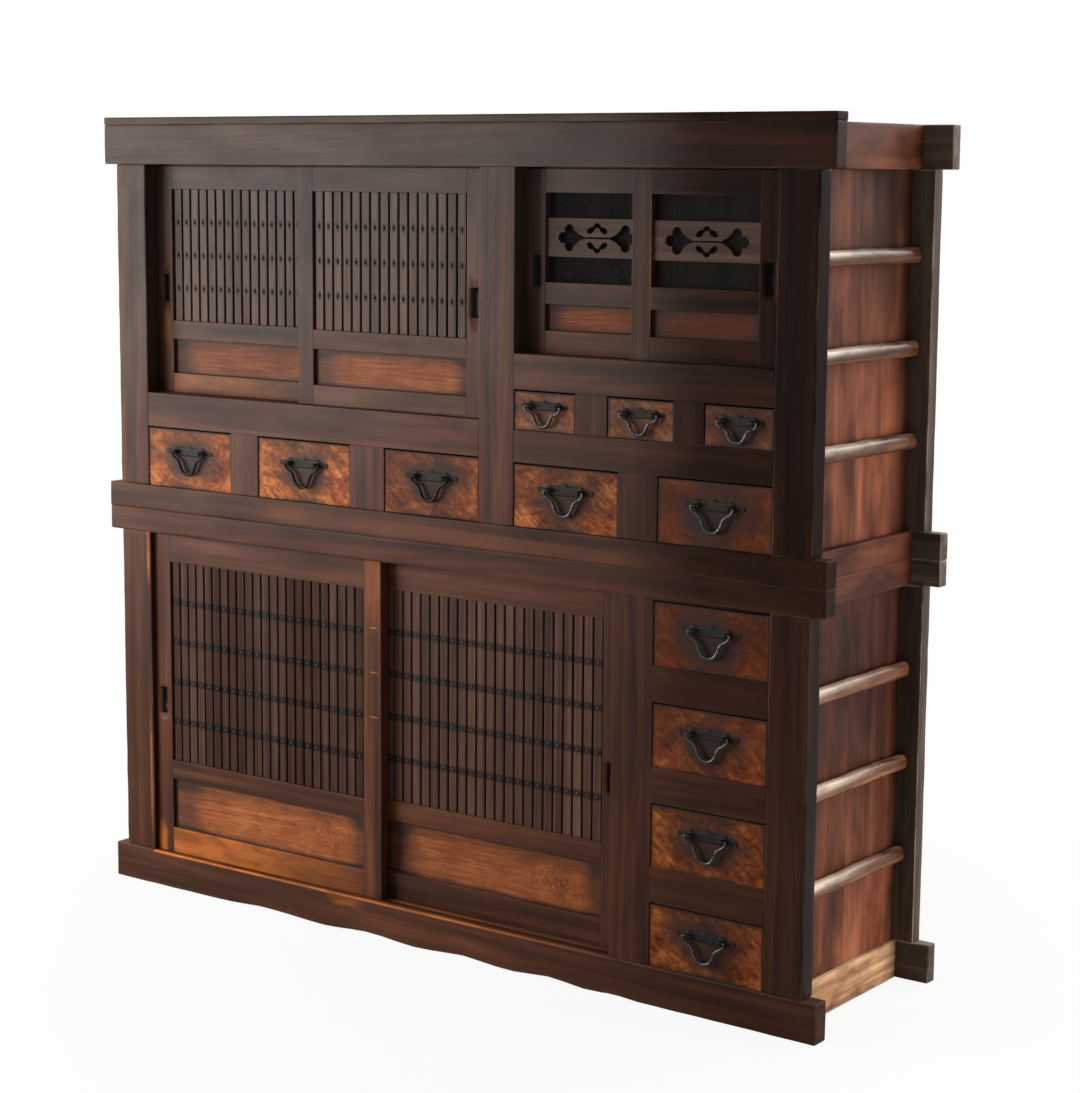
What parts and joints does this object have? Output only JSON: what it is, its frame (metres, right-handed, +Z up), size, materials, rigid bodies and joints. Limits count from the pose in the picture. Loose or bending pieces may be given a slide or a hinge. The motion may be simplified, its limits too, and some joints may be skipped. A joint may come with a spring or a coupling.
{
  "type": "mizuya kitchen cabinet",
  "caption": "East Asian kitchen cabinet of stacked chests with sliding lattice doors, carved openwork doors, and drawers with iron bail pulls.",
  "frame": {"origin": "centre of the overall footprint, on the floor", "axes": "+X to the right when facing the doors, -Y out of the front, +Z up"},
  "size_m": [1.88, 0.4926, 1.75],
  "materials": {
    "frame_wood": "dark brown lacquer, worn satin",
    "side_board_wood": "reddish brown oiled softwood",
    "inner_wood": "bare aged softwood",
    "rung_wood": "dark brown worn pale on the outside",
    "door_wood": "dark brown lacquer with greyish slats and orange brown figured panels",
    "drawer_wood": "orange brown figured elm, oiled",
    "iron": "dark forged iron, dull",
    "wire_mesh": "black wire"
  },
  "bodies": {
    "carcass": {"upper_corner_posts": "frame_wood", "upper_frame_beams": "frame_wood", "top_cap_strip": "frame_wood", "upper_side_boards": "side_board_wood", "upper_back_and_top_boards": "inner_wood", "upper_face_frame": "frame_wood", "upper_door_tracks": "frame_wood", "upper_inner_boards": "inner_wood", "lower_corner_posts": "frame_wood", "lower_frame_beams": "frame_wood", "lower_side_boards": "side_board_wood", "lower_back_boards": "inner_wood", "lower_face_frame": "frame_wood", "lower_door_tracks": "frame_wood", "lower_inner_boards": "inner_wood", "side_rungs": "rung_wood"},
    "upper_left_door_left": {"upper_left_door_left": "door_wood"},
    "upper_left_door_right": {"upper_left_door_right": "door_wood"},
    "upper_right_door_left": {"upper_right_door_left": "door_wood", "upper_right_door_left_mesh": "wire_mesh"},
    "upper_right_door_right": {"upper_right_door_right": "door_wood", "upper_right_door_right_mesh": "wire_mesh"},
    "lower_left_door_left": {"lower_left_door_left": "door_wood"},
    "lower_left_door_right": {"lower_left_door_right": "door_wood"},
    "upper_left_drawer_1": {"upper_left_drawer_1": "drawer_wood", "upper_left_drawer_1_plate": "iron"},
    "upper_left_drawer_1_bail": {"upper_left_drawer_1_bail": "iron"},
    "upper_left_drawer_2": {"upper_left_drawer_2": "drawer_wood", "upper_left_drawer_2_plate": "iron"},
    "upper_left_drawer_2_bail": {"upper_left_drawer_2_bail": "iron"},
    "upper_left_drawer_3": {"upper_left_drawer_3": "drawer_wood", "upper_left_drawer_3_plate": "iron"},
    "upper_left_drawer_3_bail": {"upper_left_drawer_3_bail": "iron"},
    "small_drawer_1": {"small_drawer_1": "drawer_wood", "small_drawer_1_plate": "iron"},
    "small_drawer_1_bail": {"small_drawer_1_bail": "iron"},
    "small_drawer_2": {"small_drawer_2": "drawer_wood", "small_drawer_2_plate": "iron"},
    "small_drawer_2_bail": {"small_drawer_2_bail": "iron"},
    "small_drawer_3": {"small_drawer_3": "drawer_wood", "small_drawer_3_plate": "iron"},
    "small_drawer_3_bail": {"small_drawer_3_bail": "iron"},
    "upper_right_drawer_1": {"upper_right_drawer_1": "drawer_wood", "upper_right_drawer_1_plate": "iron"},
    "upper_right_drawer_1_bail": {"upper_right_drawer_1_bail": "iron"},
    "upper_right_drawer_2": {"upper_right_drawer_2": "drawer_wood", "upper_right_drawer_2_plate": "iron"},
    "upper_right_drawer_2_bail": {"upper_right_drawer_2_bail": "iron"},
    "lower_drawer_1": {"lower_drawer_1": "drawer_wood", "lower_drawer_1_plate": "iron"},
    "lower_drawer_1_bail": {"lower_drawer_1_bail": "iron"},
    "lower_drawer_2": {"lower_drawer_2": "drawer_wood", "lower_drawer_2_plate": "iron"},
    "lower_drawer_2_bail": {"lower_drawer_2_bail": "iron"},
    "lower_drawer_3": {"lower_drawer_3": "drawer_wood", "lower_drawer_3_plate": "iron"},
    "lower_drawer_3_bail": {"lower_drawer_3_bail": "iron"},
    "lower_drawer_4": {"lower_drawer_4": "drawer_wood", "lower_drawer_4_plate": "iron"},
    "lower_drawer_4_bail": {"lower_drawer_4_bail": "iron"}
  },
  "joints": [
    {"name": "upper_left_door_left_slide", "type": "slide", "parent": "carcass", "child": "upper_left_door_left", "axis": [1, 0, 0], "range_m": [0, 0.4435]},
    {"name": "upper_left_door_right_slide", "type": "slide", "parent": "carcass", "child": "upper_left_door_right", "axis": [-1, 0, 0], "range_m": [0, 0.4435]},
    {"name": "upper_right_door_left_slide", "type": "slide", "parent": "carcass", "child": "upper_right_door_left", "axis": [1, 0, 0], "range_m": [0, 0.2725]},
    {"name": "upper_right_door_right_slide", "type": "slide", "parent": "carcass", "child": "upper_right_door_right", "axis": [-1, 0, 0], "range_m": [0, 0.2725]},
    {"name": "lower_left_door_left_slide", "type": "slide", "parent": "carcass", "child": "lower_left_door_left", "axis": [1, 0, 0], "range_m": [0, 0.6055]},
    {"name": "lower_left_door_right_slide", "type": "slide", "parent": "carcass", "child": "lower_left_door_right", "axis": [-1, 0, 0], "range_m": [0, 0.6055]},
    {"name": "upper_left_drawer_1_slide", "type": "slide", "parent": "carcass", "child": "upper_left_drawer_1", "axis": [0, -1, 0], "range_m": [0, 0.3]},
    {"name": "upper_left_drawer_1_bail_swing", "type": "hinge", "parent": "upper_left_drawer_1", "child": "upper_left_drawer_1_bail", "pos_m": [-0.692, -0.2413, 1.0128], "axis": [-1, 0, 0], "range_deg": [0, 165]},
    {"name": "upper_left_drawer_2_slide", "type": "slide", "parent": "carcass", "child": "upper_left_drawer_2", "axis": [0, -1, 0], "range_m": [0, 0.3]},
    {"name": "upper_left_drawer_2_bail_swing", "type": "hinge", "parent": "upper_left_drawer_2", "child": "upper_left_drawer_2_bail", "pos_m": [-0.352, -0.2413, 1.0128], "axis": [-1, 0, 0], "range_deg": [0, 165]},
    {"name": "upper_left_drawer_3_slide", "type": "slide", "parent": "carcass", "child": "upper_left_drawer_3", "axis": [0, -1, 0], "range_m": [0, 0.3]},
    {"name": "upper_left_drawer_3_bail_swing", "type": "hinge", "parent": "upper_left_drawer_3", "child": "upper_left_drawer_3_bail", "pos_m": [-0.0005, -0.2413, 1.0128], "axis": [-1, 0, 0], "range_deg": [0, 165]},
    {"name": "small_drawer_1_slide", "type": "slide", "parent": "carcass", "child": "small_drawer_1", "axis": [0, -1, 0], "range_m": [0, 0.3]},
    {"name": "small_drawer_1_bail_swing", "type": "hinge", "parent": "small_drawer_1", "child": "small_drawer_1_bail", "pos_m": [0.2885, -0.2413, 1.17605], "axis": [-1, 0, 0], "range_deg": [0, 165]},
    {"name": "small_drawer_2_slide", "type": "slide", "parent": "carcass", "child": "small_drawer_2", "axis": [0, -1, 0], "range_m": [0, 0.3]},
    {"name": "small_drawer_2_bail_swing", "type": "hinge", "parent": "small_drawer_2", "child": "small_drawer_2_bail", "pos_m": [0.519, -0.2413, 1.17605], "axis": [-1, 0, 0], "range_deg": [0, 165]},
    {"name": "small_drawer_3_slide", "type": "slide", "parent": "carcass", "child": "small_drawer_3", "axis": [0, -1, 0], "range_m": [0, 0.3]},
    {"name": "small_drawer_3_bail_swing", "type": "hinge", "parent": "small_drawer_3", "child": "small_drawer_3_bail", "pos_m": [0.742, -0.2413, 1.17605], "axis": [-1, 0, 0], "range_deg": [0, 165]},
    {"name": "upper_right_drawer_1_slide", "type": "slide", "parent": "carcass", "child": "upper_right_drawer_1", "axis": [0, -1, 0], "range_m": [0, 0.3]},
    {"name": "upper_right_drawer_1_bail_swing", "type": "hinge", "parent": "upper_right_drawer_1", "child": "upper_right_drawer_1_bail", "pos_m": [0.341, -0.2413, 1.01055], "axis": [-1, 0, 0], "range_deg": [0, 165]},
    {"name": "upper_right_drawer_2_slide", "type": "slide", "parent": "carcass", "child": "upper_right_drawer_2", "axis": [0, -1, 0], "range_m": [0, 0.3]},
    {"name": "upper_right_drawer_2_bail_swing", "type": "hinge", "parent": "upper_right_drawer_2", "child": "upper_right_drawer_2_bail", "pos_m": [0.69, -0.2413, 1.01055], "axis": [-1, 0, 0], "range_deg": [0, 165]},
    {"name": "lower_drawer_1_slide", "type": "slide", "parent": "carcass", "child": "lower_drawer_1", "axis": [0, -1, 0], "range_m": [0, 0.3]},
    {"name": "lower_drawer_1_bail_swing", "type": "hinge", "parent": "lower_drawer_1", "child": "lower_drawer_1_bail", "pos_m": [0.6875, -0.2413, 0.76731], "axis": [-1, 0, 0], "range_deg": [0, 165]},
    {"name": "lower_drawer_2_slide", "type": "slide", "parent": "carcass", "child": "lower_drawer_2", "axis": [0, -1, 0], "range_m": [0, 0.3]},
    {"name": "lower_drawer_2_bail_swing", "type": "hinge", "parent": "lower_drawer_2", "child": "lower_drawer_2_bail", "pos_m": [0.6875, -0.2413, 0.56514], "axis": [-1, 0, 0], "range_deg": [0, 165]},
    {"name": "lower_drawer_3_slide", "type": "slide", "parent": "carcass", "child": "lower_drawer_3", "axis": [0, -1, 0], "range_m": [0, 0.3]},
    {"name": "lower_drawer_3_bail_swing", "type": "hinge", "parent": "lower_drawer_3", "child": "lower_drawer_3_bail", "pos_m": [0.6875, -0.2413, 0.36296], "axis": [-1, 0, 0], "range_deg": [0, 165]},
    {"name": "lower_drawer_4_slide", "type": "slide", "parent": "carcass", "child": "lower_drawer_4", "axis": [0, -1, 0], "range_m": [0, 0.3]},
    {"name": "lower_drawer_4_bail_swing", "type": "hinge", "parent": "lower_drawer_4", "child": "lower_drawer_4_bail", "pos_m": [0.6875, -0.2413, 0.16079], "axis": [-1, 0, 0], "range_deg": [0, 165]}
  ]
}
